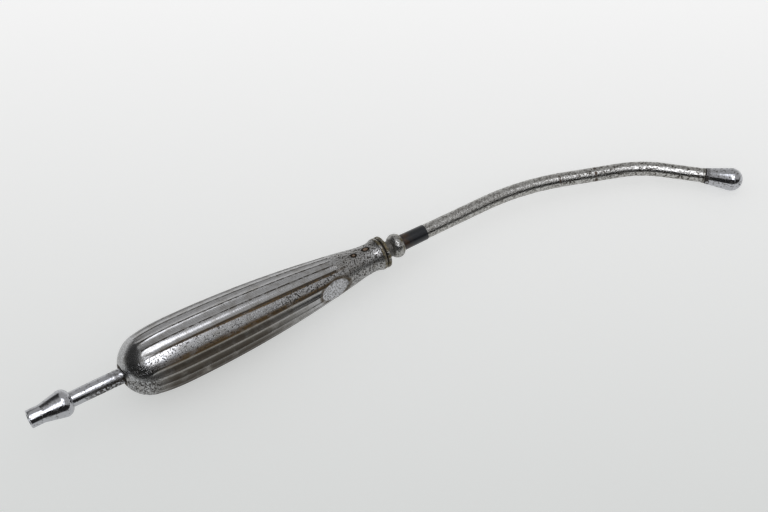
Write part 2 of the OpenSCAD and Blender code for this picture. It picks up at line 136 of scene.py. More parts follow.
# %% [markdown]
# A turned piece is an outline, given as place along the axis and radius, revolved about that axis.
# Real turned edges are never knife-sharp: a file or a buffing wheel takes a tenth off them, and
# that tiny round is what catches the light. So every corner in an outline has its own easing,
# which may take up to 45 per cent of the sides that meet there.

# %% Outlines with eased corners
EASE_STEPS, SIDE_SHARE = 5, 0.45


def eased(corners):
    """A closed outline from corners given as (place, radius, easing)."""
    outline = []
    for number, (x, r, ease) in enumerate(corners):
        here = np.array((x, r), float)
        if not ease:
            outline.append(here)
            continue
        back = np.array(corners[number - 1][:2]) - here
        ahead = np.array(corners[(number + 1) % len(corners)][:2]) - here
        back_length, ahead_length = np.linalg.norm(back), np.linalg.norm(ahead)
        half = math.acos(np.clip(back @ ahead / back_length / ahead_length, -1, 1)) / 2
        reach = min(ease / math.tan(half), SIDE_SHARE * min(back_length, ahead_length))
        start, end = here + back / back_length * reach, here + ahead / ahead_length * reach
        for t in np.linspace(0, 1, EASE_STEPS):
            outline.append((1 - t) ** 2 * start + 2 * t * (1 - t) * here + t ** 2 * end)
    return np.array(outline)


def arc(mid, radius, start, end, steps):
    """Corners on a circle round mid, from one slope of the outline to another, in degrees."""
    slopes = np.radians(np.linspace(start, end, steps))
    return [(mid[0] - radius * math.sin(a), mid[1] + radius * math.cos(a), 0) for a in slopes]


def touch_slope(point, mid, radius):
    """Slope, in degrees, of the line that rises from point and touches the circle round mid."""
    gap = np.subtract(mid, point)
    return math.degrees(math.atan2(gap[0], -gap[1]) - math.acos(radius / np.hypot(*gap)))


def turned(name, outline, to_model, body, slot, nodes=(), sides=160, thread=None):
    """A piece turned on a lathe: the closed outline revolved, with a thread where one is given."""
    angle = np.arange(sides) / sides * 2 * math.pi
    place = np.repeat(outline[:, :1], sides, axis=1)
    radius = np.repeat(outline[:, 1:], sides, axis=1)
    if thread:
        radius = radius - thread(place, radius, angle)
    grid = np.stack([place, radius * np.cos(angle), radius * np.sin(angle)], -1)
    return skin(name, grid, to_model, body, slot, nodes)


# %% [markdown]
# Both joints are screws, so the bare spigots need real threads. A thread could be a swept helix,
# but on a fine grid it is simpler: the radius rises and falls with the place along the axis less
# the share of a turn. A flank takes 12 per cent of the pitch, and half the root is 1.2 times as
# wide. Bolt and nut use the same formula half a pitch apart, so they stay in mesh at every
# angle, as long as one turn moves the piece by one pitch.

# %% Threads of the two screw joints
FLANK, HALF_ROOT = 0.12, 1.2
ON_SURFACE = 0.001


def thread_cut(start, end, pitch, depth, surface, inside):
    """Depth to cut at each point on the radius surface, for a right-hand thread."""
    def cut(place, radius, angle):
        turn = (place / pitch - angle / (2 * math.pi) + (0.5 if inside else 0)) % 1
        ridge = np.clip((0.5 - np.abs(turn - 0.5)) / FLANK - HALF_ROOT, 0, 1)
        run_out = np.clip(np.minimum(place - start, end - place) / pitch * 2, 0, 1)
        on_thread = (np.abs(radius - surface) < ON_SURFACE) * run_out
        return depth * on_thread * (ridge if inside else 1 - ridge)
    return cut


def fine_line(start, end, radius, step=0.04):
    """Corners from start to end on one radius, close enough together to carry a thread."""
    places = np.linspace(start, end, int(abs(end - start) / step) + 2)
    return [(x, radius, 0) for x in places]


# %% [markdown]
# The nipple is turned from one bar: a plain end over which the hose starts, a cone that stretches
# it and a round shoulder that keeps it on. The cone runs into the shoulder without a corner, so
# it starts at the slope at which a line touches the shoulder's circle. The stem sits in a socket
# in its front, and its bore carries on through the whole instrument.

# %% Hose nipple and stem
STEM_R, BORE_R = 2.75, 2.15
NIPPLE_BACK, NIPPLE_FRONT, SOCKET = -33.2, -18, 6
NIPPLE_R, NIPPLE_END_R, NIPPLE_END, SHOULDER = 4.85, 3.25, 4.6, 3
STEM_FRONT = 96.95

swell = NIPPLE_R - STEM_R
olive_r = (SHOULDER ** 2 + swell ** 2) / (2 * swell)
olive_mid = (NIPPLE_FRONT - SHOULDER, NIPPLE_R - olive_r)
cone_back = (NIPPLE_BACK + NIPPLE_END, NIPPLE_END_R)
foot_slope = -math.degrees(math.asin(SHOULDER / olive_r))
nipple_outline = eased(
    [(NIPPLE_BACK, BORE_R, 0.25), (NIPPLE_BACK, NIPPLE_END_R, 0.3), (*cone_back, 1.2)]
    + arc(olive_mid, olive_r, touch_slope(cone_back, olive_mid, olive_r), foot_slope, 40)
    + [(NIPPLE_FRONT - SOCKET, STEM_R, 0), (NIPPLE_FRONT - SOCKET, BORE_R, 0)])
nipple = turned("nipple", nipple_outline, handle_frame, "handle", "bright_plate", ["hose_nipple"])

stem_outline = eased([
    (NIPPLE_FRONT - SOCKET, BORE_R, 0), (NIPPLE_FRONT - SOCKET, STEM_R, 0),
    *fine_line(NIPPLE_FRONT - SOCKET + 0.5, STEM_FRONT - 0.5, STEM_R, step=2),
    (STEM_FRONT, STEM_R, 0), (STEM_FRONT, BORE_R, 0)])
stem = turned("stem", stem_outline, handle_frame, "handle", "bright_plate", ["stem_tube"], sides=96)

# %% [markdown]
# Where the stem enters the dome, a brass bush is soldered in. Only its face shows, with a small
# countersink round the stem, and the bush is dark all over. Its flange seats inside the dome.

# %% Rear bush
DOME_MID, DOME_R, WALL = 11.2, 11.2, 1.3
BUSH_R, BUSH_LENGTH, FLANGE_R, FLANGE_T, SINK = 4.1, 8, 6, 1.5, 0.6

bush_back = DOME_MID - math.sqrt(DOME_R ** 2 - BUSH_R ** 2)
flange_back = DOME_MID - math.sqrt((DOME_R - WALL) ** 2 - FLANGE_R ** 2)
bush_outline = eased([
    (bush_back, BUSH_R, 0.1), (flange_back, BUSH_R, 0), (flange_back, FLANGE_R, 0.1),
    (flange_back + FLANGE_T, FLANGE_R, 0.1), (flange_back + FLANGE_T, BUSH_R, 0),
    (bush_back + BUSH_LENGTH, BUSH_R, 0.1), (bush_back + BUSH_LENGTH, STEM_R, 0),
    (bush_back + SINK, STEM_R, 0), (bush_back, STEM_R + SINK, 0.1)])
bush = turned("bush", bush_outline, handle_frame, "handle", "bare_brass", ["rear_bush"])

# %% [markdown]
# The handle is the showpiece: two half shells pressed from sheet, each with nine hollow flutes,
# meeting in two smooth bands. Its outline is four arcs that run into each other, from a round
# dome over a long taper to the neck. A flute is what a round cutter leaves as it follows the
# taper, so each flute's depth comes from one formula of place and angle, and its rounded ends
# come for free where the cutter's path leaves the surface. Booleans with eighteen cutters would
# give slivers and bad shading; a grid whose radius is the lesser of body and flute stays clean.

# %% Outline of the handle
BELLY, BELLY_R, SHOULDER_R = 21.6, 12.15, 68.6
NECK_R, SWEEP_LENGTH, SHELL_FRONT = 5.4, 6, 102.6
RIM_R, FLARE_R = 6.1, 6

flare_length = math.sqrt(2 * FLARE_R * (RIM_R - NECK_R) - (RIM_R - NECK_R) ** 2)
neck = SHELL_FRONT - flare_length
taper_span, taper_drop = neck - BELLY, BELLY_R - NECK_R
both_r = (taper_span ** 2 + taper_drop ** 2) / (2 * taper_drop)
sweep_r = both_r * SWEEP_LENGTH / taper_span
taper_r = both_r - sweep_r
dome_joint = DOME_MID - DOME_R * (BELLY - DOME_MID) / (SHOULDER_R - DOME_R)
taper_joint = BELLY + taper_r * taper_span / both_r


def handle_radius(x, inset=0.0):
    """Radius of the handle's body, moved inwards by inset, at places x along the axis."""
    def dip(r, gap):
        return np.sqrt(np.maximum(r ** 2 - gap ** 2, 0))
    dome = dip(DOME_R - inset, x - DOME_MID)
    shoulder = BELLY_R - SHOULDER_R + dip(SHOULDER_R - inset, x - BELLY)
    taper = BELLY_R - taper_r + dip(taper_r - inset, x - BELLY)
    sweep = NECK_R + sweep_r - dip(sweep_r + inset, x - neck)
    flare = NECK_R + FLARE_R - dip(FLARE_R, x - neck) if not inset else NECK_R - inset + 0 * x
    return np.select([x < dome_joint, x < BELLY, x < taper_joint, x < neck],
                     [dome, shoulder, taper, sweep], flare)


print("handle radius at 1, 40, 80, 100:", handle_radius(np.array([1, 40, 80, 100.0])).round(2))

# %% [markdown]
# The cutter's middle falls over the shoulder more slowly than the shoulder itself, follows the
# taper, and lifts out at the front. Two neighbours meet in an arris. The finger flat is a plane
# that cuts into the grid inside a circle, with a short wall round it, so what shows of it is an
# oval. How far inside that oval a point lies is kept too, because the flat gets its own finish.

# %% Flutes and the finger flat
FLUTES, BAND, FLUTE_R, FLUTE_BITE = 9, 27, 4, 0.05
FALL_R, FLUTE_RUN, LIFT_R = 105, 59, 30
FLAT, FLAT_D, FLAT_DEPTH, FLAT_ANGLE, FLAT_WALL = 81, 11.5, 0.8, 38, 0.35
OVAL_SPARE, LEAST_COSINE, OUTSIDE = 1.1, 0.3, -9

flute_pitch = math.radians((180 - BAND) / FLUTES)


def cutter_over(r):
    """Distance of the cutter from the axis where neighbouring flutes meet at radius r."""
    half = flute_pitch / 2
    return r * math.cos(half) + math.sqrt(FLUTE_R ** 2 - (r * math.sin(half)) ** 2) - FLUTE_BITE


cutter_top = cutter_over(BELLY_R)
cutter_front = cutter_over(float(handle_radius(np.array([BELLY + FLUTE_RUN]))[0]))
cutter_drop = cutter_top - cutter_front
follow_r = (FLUTE_RUN ** 2 + cutter_drop ** 2) / (2 * cutter_drop)
lift_back = LIFT_R * FLUTE_RUN / follow_r


def cutter_distance(x):
    """Distance of a flute cutter's middle from the axis, at places x."""
    def fall(r, gap):
        return r - np.sqrt(np.maximum(r ** 2 - gap ** 2, 0))
    lift = fall(LIFT_R, np.clip(x - BELLY - FLUTE_RUN - lift_back, -LIFT_R, LIFT_R))
    return np.select([x < BELLY, x < BELLY + FLUTE_RUN],
                     [cutter_top - fall(FALL_R, x - BELLY), cutter_top - fall(follow_r, x - BELLY)],
                     cutter_front - fall(LIFT_R, lift_back) + lift)


def flute_floor(x, angle):
    """Radius of the flutes' hollows; angle runs from the middle of one band to the other's."""
    across = (angle - math.radians(BAND / 2)) / flute_pitch
    turn = (across - np.clip(np.floor(across), 0, FLUTES - 1) - 0.5) * flute_pitch
    middle = cutter_distance(x)
    room = FLUTE_R ** 2 - (middle * np.sin(turn)) ** 2
    floor = middle * np.cos(turn) - np.sqrt(np.maximum(room, 0))
    return np.where((room < 0) | (across < 0) | (across > FLUTES), np.inf, floor)


def flat_floor(x, r, angle):
    """Radius after the finger flat is sunk, and how far inside its oval outline each point lies."""
    ground = float(handle_radius(np.array([FLAT]))[0])
    slope = math.asin((FLAT - BELLY) / taper_r)
    turn = angle - math.radians(FLAT_ANGLE)
    level = FLAT * math.sin(slope) + ground * math.cos(slope) - FLAT_DEPTH
    flat = (level - x * math.sin(slope)) / (math.cos(slope) * np.cos(turn))
    facing = np.cos(turn) > LEAST_COSINE
    flat = np.where(facing, flat, np.inf)
    along = (x - FLAT) * math.cos(slope) - (r * np.cos(turn) - ground) * math.sin(slope)
    within = np.where(facing, FLAT_D / 2 - np.hypot(along, r * np.sin(turn)), OUTSIDE)
    share = np.clip(within / FLAT_WALL + 0.5, 0, 1)
    share = share * share * (3 - 2 * share) * (flat < r)
    half_width = OVAL_SPARE * math.sqrt(FLAT_DEPTH * (2 * ground - FLAT_DEPTH))
    oval = half_width * (1 - np.hypot(along / (FLAT_D / 2), r * np.sin(turn) / half_width))
    return r - (r - np.minimum(flat, r)) * share, np.where(facing, oval, OUTSIDE)


print("cutter at 20, 50, 80:", cutter_distance(np.array([20, 50, 80.0])).round(2))

# %% [markdown]
# The grid is fine only where the shape is: across the flutes, over their ends and round the flat.
# Along the taper nothing happens for a millimetre at a time. The smooth bands lean over so far
# that the handle lies on two arrises, and that lean turns both shells about the axis. On the
# real handle the arrises are polished down a little, so the grid is softened by one column.
# Four things about each point are kept for its finish: the angle from the near band, how
# hollow it is, how far it is from an arris, and how far inside the finger flat.

# %% The two half shells
FLUTE_COLUMNS, BAND_COLUMNS, DOME_ROWS, FLARE_ROWS = 20, 18, 26, 14
FLUTES_BEGIN, FLUTES_LIFT, FLAT_PASSED = 15, 74, 88
FULL_HOLLOW, NO_ARRIS, FAR = 0.45, 0.12, 9
REST_FLUTE = 2
band_lean = math.radians(BAND / 2) + (REST_FLUTE - 0.5) * flute_pitch

hole_back = np.arcsin(BUSH_R / DOME_R)
dome_turns = np.linspace(hole_back, math.acos((DOME_MID - dome_joint) / DOME_R), DOME_ROWS)[:-1]
shell_rows = np.concatenate([
    DOME_MID - DOME_R * np.cos(dome_turns),
    np.arange(dome_joint, FLUTES_BEGIN, 0.2), np.arange(FLUTES_BEGIN, FLUTES_LIFT, 0.9),
    np.arange(FLUTES_LIFT, FLAT_PASSED, 0.22), np.arange(FLAT_PASSED, neck, 0.6),
    np.linspace(neck, SHELL_FRONT, FLARE_ROWS)])
edge = math.radians(BAND / 2)
shell_angles = np.concatenate([
    np.linspace(0, edge, BAND_COLUMNS)[:-1],
    np.linspace(edge, math.pi - edge, FLUTES * FLUTE_COLUMNS + 1),
    np.linspace(math.pi - edge, math.pi, BAND_COLUMNS)[1:]])


def softened(radius):
    """The radius averaged with its neighbours across the columns, which wears the arrises."""
    radius[:, 1:-1] = (radius[:, :-2] + 2 * radius[:, 1:-1] + radius[:, 2:]) / 4
    return radius


def half_shell(name, side, node):
    """One half shell as a closed solid: a fluted outer face, a plain inner one and its edges."""
    x, angle = np.meshgrid(shell_rows, shell_angles, indexing="ij")
    body = handle_radius(x)
    outer = softened(np.minimum(body, flute_floor(x, angle)))
    across = (angle - math.radians(BAND / 2)) / flute_pitch
    from_arris = np.abs(across - np.clip(np.round(across), 0, FLUTES)) * flute_pitch * body
    depth = body - np.maximum(cutter_distance(x) - FLUTE_R, 0)
    fields = {"turn": np.degrees(side * angle),
              "hollow": np.clip((body - outer) / FULL_HOLLOW, 0, 1),
              "arris": from_arris + FAR * (depth < NO_ARRIS)}
    sunk, fields["flat"] = flat_floor(x, outer, -side * angle)
    if side < 0:
        outer = sunk
    inner_x = np.maximum(x, DOME_MID - math.sqrt((DOME_R - WALL) ** 2 - BUSH_R ** 2))
    inner = np.maximum(handle_radius(inner_x, WALL), NECK_R - WALL)
    y, z = -np.sin(band_lean - side * angle), np.cos(band_lean - side * angle)
    outside = np.stack([x, outer * y, outer * z], -1)
    inside = np.stack([inner_x, inner * y, inner * z], -1)
    grid = np.concatenate([outside, inside[:, ::-1]], 1)
    fields = {label: np.concatenate([field, field[:, ::-1]], 1) for label, field in fields.items()}
    return skin(name, grid, handle_frame, "handle", "pitted_plate", [node],
                open_ends=True, **fields)


upper_shell = half_shell("upper_shell", 1, "handle_shell_upper")
lower_shell = half_shell("lower_shell", -1, "handle_shell_lower")

# %% [markdown]
# The neck ends in two thin rims with a fibre washer between them. The first rim belongs to a
# threaded collar soldered inside the neck. The second is turned in one piece with a spigot, a
# waist and a bead. The spigot screws into the collar, and the bent tube is let into the bead.

# %% Collar, washer and coupling
COLLAR_LENGTH, RIM_T, RIM_EASE = 14, 1.35, 0.62
SCREW_R, SCREW_PLAY, SCREW_PITCH, SCREW_TURNS, SCREW_PLAIN = 3.4, 0.08, 1, 5, 1.2
SCREW_CUT, COLLAR_CUT = 0.42, 0.4
WASHER_PLAY, WASHER_EASE = 0.07, 0.08
WAIST_R, WAIST_LENGTH, WAIST_FILLET = 3.05, 2.8, 0.9
BEAD_R, BEAD_LENGTH, BEAD_PEAK, BEAD_SOCKET = 4.55, 4.6, 2.4, 3.4

screw_back = COUPLING - SCREW_TURNS * SCREW_PITCH - SCREW_PLAIN
collar_outline = eased([
    (SHELL_FRONT - COLLAR_LENGTH, STEM_R, 0), (SHELL_FRONT - COLLAR_LENGTH, NECK_R - WALL, 0.2),
    (SHELL_FRONT, NECK_R - WALL, 0), (SHELL_FRONT, RIM_R, RIM_EASE), (RIM_FACE, RIM_R, RIM_EASE),
    (RIM_FACE, SCREW_R, 0.05), *fine_line(RIM_FACE - 0.1, STEM_FRONT + 0.1, SCREW_R),
    (STEM_FRONT, SCREW_R, 0), (STEM_FRONT, STEM_R, 0)])
collar = turned("collar", collar_outline, handle_frame, "handle", "worn_rim", ["front_collar"],
                thread=thread_cut(STEM_FRONT, RIM_FACE, SCREW_PITCH, -COLLAR_CUT, SCREW_R, True))


def washer_outline(back, bore, outer):
    """Outline of a sealing washer whose back face is at the given place."""
    front = back + SEAL
    return eased([(back, bore, 0), (back, outer, WASHER_EASE), (front, outer, WASHER_EASE),
                  (front, bore, 0)])


washer = turned(
    "washer", washer_outline(RIM_FACE + SEAL_GAP, SCREW_R + WASHER_PLAY, RIM_R - RIM_T / 2),
    handle_frame, "coupling_washer", "fibre", ["coupling_seal"])

waist = COUPLING + RIM_T
bead_back, bead_front = waist + WAIST_LENGTH, waist + WAIST_LENGTH + BEAD_LENGTH
bead_swell = BEAD_R - WAIST_R
bead_curve = (BEAD_PEAK ** 2 + bead_swell ** 2) / (2 * bead_swell)
bead_back_slope = math.degrees(math.asin(BEAD_PEAK / bead_curve))
bead_front_slope = -math.degrees(math.asin((BEAD_LENGTH - BEAD_PEAK) / bead_curve))
bead_edge_r = BEAD_R - bead_curve * (1 - math.cos(math.radians(bead_front_slope)))
coupling_outline = eased(
    [(screw_back, BORE_R, 0.1), (screw_back, SCREW_R - SCREW_PLAY, 0.3)]
    + fine_line(screw_back + 0.2, COUPLING - 0.2, SCREW_R - SCREW_PLAY)
    + [(COUPLING, SCREW_R - SCREW_PLAY, 0), (COUPLING, RIM_R, RIM_EASE), (waist, RIM_R, RIM_EASE)]
    + arc((waist + WAIST_FILLET, WAIST_R + WAIST_FILLET), -WAIST_FILLET, -90, 0, 12)
    + arc((bead_back + BEAD_PEAK, BEAD_R - bead_curve), bead_curve, bead_back_slope,
          bead_front_slope, 40)
    + [(bead_front, bead_edge_r, 0.12), (bead_front, STEM_R, 0),
       (bead_front - BEAD_SOCKET, STEM_R, 0), (bead_front - BEAD_SOCKET, BORE_R, 0)])
coupling = turned(
    "coupling", coupling_outline, handle_frame, "suction_tube", "worn_rim", ["tube_coupling"],
    thread=thread_cut(screw_back, COUPLING - SCREW_PLAIN, SCREW_PITCH, SCREW_CUT,
                      SCREW_R - SCREW_PLAY, False))

# %% [markdown]
# The bent tube is a long straight, an easy bend, a short straight, a tighter bend and a short
# end. Its middle line is written down as lengths and headings, so the rings stand exactly square
# to it. Its drawing is the length along the tube and the place across it, which lets the rust
# rings and the dark stretches be set out by length.

# %% Bent tube
TUBE_R = 2.75
LEAD, BEND_1, MIDDLE, BEND_2, END = 37, (105, 19), 22, (46, 22.5), 14.2
RING_STEP, TUBE_SIDES = 0.7, 96


def tube_line():
    """Middle line of the bent tube as rows of place, offset, heading and length so far."""
    x, y, heading, length = bead_front - BEAD_SOCKET, 0.0, 0.0, 0.0
    line = [(x, y, heading, length)]
    for radius, amount in ((0, BEAD_SOCKET + LEAD), BEND_1, (0, MIDDLE), BEND_2, (0, END)):
        turn = math.radians(amount) if radius else 0.0
        distance = radius * turn if radius else amount
        count = math.ceil(distance / RING_STEP)
        for _ in range(count):
            heading += turn / count / 2
            chord = 2 * radius * math.sin(turn / count / 2) if radius else distance / count
            x, y = x + chord * math.cos(heading), y - chord * math.sin(heading)
            heading += turn / count / 2
            length += distance / count
            line.append((x, y, heading, length))
    return np.array(line)


line = tube_line()
turn = -np.arange(TUBE_SIDES) / TUBE_SIDES * 2 * math.pi


def tube_wall(radius, turns):
    """Rings of points round the tube's line, with the drawing that goes with them."""
    across, up = radius * np.cos(turns), radius * np.sin(turns)
    x = line[:, :1] + across * np.sin(line[:, 2:3])
    y = line[:, 1:2] + across * np.cos(line[:, 2:3])
    rings = np.stack([x, y, np.broadcast_to(up, x.shape)], -1)
    drawn = np.stack([np.broadcast_to(line[:, 3:4], x.shape), np.broadcast_to(across, x.shape),
                      rings[..., 2]], -1)
    return rings, drawn


outside, outside_drawn = tube_wall(TUBE_R, turn)
inside, inside_drawn = tube_wall(BORE_R, turn)
tube = skin("tube", np.concatenate([outside, inside[::-1]]), handle_frame, "suction_tube",
            "satin_plate", ["bent_tube"],
            drawn=np.concatenate([outside_drawn, inside_drawn[::-1]]))
print("tube length:", round(float(line[-1, 3]), 2), "mm")

# %% [markdown]
# A thin black sleeve hides the joint of tube and bead. It narrows a little to its front, and its
# front edge is almost sharp, so an outline of four corners is all it needs.

# %% Sleeve beside the bead
SLEEVE_LENGTH, SLEEVE_R, SLEEVE_END_R = 10.4, 3.03, 2.91

sleeve_outline = eased([
    (bead_front, TUBE_R, 0), (bead_front, SLEEVE_R, 0),
    (bead_front + SLEEVE_LENGTH, SLEEVE_END_R, 0.05), (bead_front + SLEEVE_LENGTH, TUBE_R, 0)])
sleeve = turned("sleeve", sleeve_outline, handle_frame, "suction_tube", "black_oxide",
                ["tube_sleeve"])

# %% [markdown]
# The tip unscrews for cleaning. A bush with a shoulder ring and a small threaded spigot is
# soldered into the tube's end. The tip itself is one hollow turning: a threaded skirt that widens
# in a straight line to the ball, and one eye in the end. The ring is a little fatter than the
# tube, and it shows as a dark seam.

# %% Tip bush, tip washer and ball tip
RING_R, RING_T, END_BUSH, END_BORE = 2.9, 0.9, 5, 1.4
TIP_SCREW_R, TIP_PITCH, TIP_TURNS, TIP_PLAIN, RELIEF = 2.15, 0.75, 4, 0.8, 0.8
SPIGOT_CUT, SKIRT_CUT, THREAD_STOP = 0.32, 0.3, 0.4
TIP_LENGTH, BALL_R, TIP_BACK_R, EYE_R, BALL_WALL = 14.2, 4.4, 3.05, 1.2, 1

tip_seat = RING_T + SEAL + 2 * SEAL_GAP
tip_screw = TIP_TURNS * TIP_PITCH + TIP_PLAIN
end_bush_outline = eased([
    (-END_BUSH, END_BORE, 0), (-END_BUSH, BORE_R, 0.1), (0, BORE_R, 0), (0, RING_R, 0.12),
    (RING_T, RING_R, 0.12), (RING_T, TIP_SCREW_R - SCREW_PLAY, 0),
    *fine_line(RING_T + 0.1, tip_seat + tip_screw - 0.2, TIP_SCREW_R - SCREW_PLAY),
    (tip_seat + tip_screw, TIP_SCREW_R - SCREW_PLAY, 0.2), (tip_seat + tip_screw, END_BORE, 0.1)])
end_bush = turned(
    "end_bush", end_bush_outline, tip_frame @ Matrix.Translation((-tip_seat, 0, 0)),
    "suction_tube", "bare_brass", ["tip_bush"],
    thread=thread_cut(tip_seat + TIP_PLAIN, tip_seat + tip_screw, TIP_PITCH, SPIGOT_CUT,
                      TIP_SCREW_R - SCREW_PLAY, False))
tip_washer = turned(
    "tip_washer", washer_outline(-SEAL - SEAL_GAP, TIP_SCREW_R + WASHER_PLAY, RING_R),
    tip_frame, "tip_washer", "fibre", ["tip_seal"])

ball_mid = (TIP_LENGTH - BALL_R, 0)
inner_r = BALL_R - BALL_WALL
inner_slopes = [math.degrees(math.acos(bore / inner_r)) for bore in (EYE_R, END_BORE)]
skirt_slope = touch_slope((0, TIP_BACK_R), ball_mid, BALL_R)
eye_slope = -math.degrees(math.acos(EYE_R / BALL_R))
tip_outline = eased(
    [(0, TIP_SCREW_R, 0), (0, TIP_BACK_R, 0.15)]
    + arc(ball_mid, BALL_R, skirt_slope, eye_slope + 2, 60)
    + [(ball_mid[0] + math.sqrt(BALL_R ** 2 - EYE_R ** 2), EYE_R, 0.12)]
    + arc(ball_mid, inner_r, -inner_slopes[0], inner_slopes[1], 40)
    + [(tip_screw + RELIEF, END_BORE, 0), (tip_screw + RELIEF, TIP_SCREW_R, 0)]
    + fine_line(tip_screw + RELIEF - 0.05, 0.05, TIP_SCREW_R))
tip = turned("tip", tip_outline, tip_frame, "tip", "bright_plate", ["ball_tip"], sides=144,
             thread=thread_cut(0, tip_screw + RELIEF - THREAD_STOP, TIP_PITCH, -SKIRT_CUT,
                               TIP_SCREW_R, True))

# %% [markdown]
# All materials follow the drawing's millimetres, so a pit has the same size on every piece. The
# plating has lost its shine in stages: polished on the nipple and the tip, satin and specked on
# the tube, pitted through to dark spots on the handle. The smallest real pits are a tenth of a
# millimetre, far less than a pixel, so they are drawn several times coarser.
#
# Each finish is built from masks, which say how strongly a mark shows at a point, from 0 to 1.
# Masks multiplied together show a mark only where all of them do. A noise pattern that is cut off
# at a threshold gives irregular spots, and a ramp fades a mark in along the piece or round it.

# %% Helpers for materials
NOISE_TOP, NOISE_SPAN, SPOT_SCALE = 0.67, 0.34, 0.5


def srgb(code):
    """Linear colour from six hexadecimal digits, by the formula of the sRGB standard."""
    parts = [int(code[i:i + 2], 16) / 255 for i in (0, 2, 4)]
    return (*[v / 12.92 if v <= 0.04045 else ((v + 0.055) / 1.055) ** 2.4 for v in parts], 1)


def add(tree, kind, inputs=(), output=0, **settings):
    """Adds a shader node and returns one of its outputs; inputs are sockets or plain values."""
    node = tree.nodes.new("ShaderNode" + kind)
    for label, value in settings.items():
        setattr(node, label, value)
    for key, value in inputs.items() if isinstance(inputs, dict) else enumerate(inputs):
        if isinstance(value, bpy.types.NodeSocket):
            tree.links.new(value, node.inputs[key])
        elif value is not None:
            node.inputs[key].default_value = value
    return node.outputs[output]


def joined(tree, kind, *masks):
    """Masks combined by one operation, such as MULTIPLY, MAXIMUM or ADD."""
    result = masks[0]
    for mask in masks[1:]:
        result = add(tree, "Math", [result, mask], operation=kind)
    return result


def ramp(tree, value, start, end):
    """Mask that goes from 0 at start to 1 at end; start may be the larger one."""
    if start > end:
        return add(tree, "MapRange", [value, end, start, 1, 0])
    return add(tree, "MapRange", [value, start, end, 0, 1])


def spots(tree, place, size, share, soft=0.06, detail=2):
    """Mask of irregular spots of about the given size in millimetres, over a share of the area."""
    noise = add(tree, "TexNoise", {"Vector": place, "Scale": SPOT_SCALE / size, "Detail": detail})
    edge = NOISE_TOP - NOISE_SPAN * share
    return ramp(tree, noise, edge, edge + soft)


def tinted(tree, base, *layers):
    """Colour with layers of (mask, colour) laid over it, one after another."""
    for mask, colour in layers:
        base = add(tree, "Mix", {0: mask, 6: base, 7: colour}, output=2, data_type="RGBA")
    return base


def started(name, metal=1):
    """A new material: its tree and the drawing's place in millimetres, whole and in parts."""
    material = bpy.data.materials.new(name)
    material.use_nodes = True
    tree = material.node_tree
    tree.nodes["Principled BSDF"].inputs["Metallic"].default_value = metal
    place = add(tree, "Attribute", output=1, attribute_name="mm")
    along, across, up = (add(tree, "SeparateXYZ", [place], output=number) for number in range(3))
    return material, tree, place, along, across, up


def finished(material, colour, roughness, height=None, dirt_and_shade=None, depth=0.04):
    """Connects colour and roughness, a height whose full step is depth in millimetres, and a mask
    of the dirt and painted shade that hide the metal."""
    tree = material.node_tree
    shader = tree.nodes["Principled BSDF"]
    for label, value in (("Base Color", colour), ("Roughness", roughness)):
        if isinstance(value, bpy.types.NodeSocket):
            tree.links.new(value, shader.inputs[label])
        else:
            shader.inputs[label].default_value = value
    if dirt_and_shade:
        tree.links.new(joined(tree, "SUBTRACT", 1, dirt_and_shade), shader.inputs["Metallic"])
    if height:
        bump = add(tree, "Bump", {"Height": height, "Strength": 1, "Distance": depth * MM})
        tree.links.new(bump, shader.inputs["Normal"])
    print(f"{material.name}: {len(tree.nodes)} nodes")


# %% [markdown]
# Bright plate is nickel, buffed until it is nearly a mirror. It takes its whole look from the
# room, so it gets little more than a faint cloudiness, some dull specks and the shallow waves that
# polishing leaves. The tip, whose drawing starts at 0, has more specks on its upper side. The stem
# gets mottled dirt and painted shade under its belly and beside the dome, where no cloth reaches.

# %% Bright plate
bright_plate, tree, place, along, _, up = started("bright nickel plate, worn")
cloud = add(tree, "TexNoise", {"Vector": place, "Scale": 0.4, "Detail": 4})
dull = spots(tree, place, 0.7, 0.26, 0.1)
on_tip = joined(tree, "MULTIPLY", ramp(tree, along, -0.5, 0), ramp(tree, along, 14, 13),
                ramp(tree, up, -0.6, 0.4))
specks = joined(tree, "MAXIMUM", spots(tree, place, 0.3, 0.14),
                joined(tree, "MULTIPLY", on_tip, spots(tree, place, 0.34, 0.36, 0.1, 3)))
behind_dome = ramp(tree, along, 1.5, 1)
# painted shade with mottled dirt: the stem darkens on its underside and beside the dome
below = joined(tree, "MULTIPLY", ramp(tree, up, 2.2, 1.6), ramp(tree, along, -14, -9), behind_dome)
beside_dome_shade = joined(tree, "MULTIPLY", ramp(tree, along, -6, -1.5), behind_dome)
dirt_and_shade = joined(tree, "MULTIPLY",
              joined(tree, "MAXIMUM", below, joined(tree, "MULTIPLY", beside_dome_shade, 0.6)),
              spots(tree, place, 0.5, 0.8, 0.12, 4))
colour = tinted(tree, srgb("C6C7CC"), (joined(tree, "MULTIPLY", cloud, 0.5), srgb("9A9A9A")),
                (joined(tree, "MULTIPLY", dull, 0.45), srgb("6F6C66")),
                (joined(tree, "MULTIPLY", specks, 0.85), srgb("3A352C")), (dirt_and_shade, srgb("2E261D")))
marks = joined(tree, "MAXIMUM", dull, specks, dirt_and_shade)
finished(bright_plate, colour, add(tree, "MapRange", [marks, 0, 1, 0.12, 0.4]), cloud,
         joined(tree, "MULTIPLY", dirt_and_shade, 0.8), depth=0.06)

# %% [markdown]
# The tube is the same plate, dulled to satin by years of wiping, with fine specks all over. They
# are faint behind the first bend and dark in front of it, and two rings of rust show where
# something was once clamped on it.

# %% Satin plate
RUST_RINGS = ((72.5, 0.35), (87, 0.55))

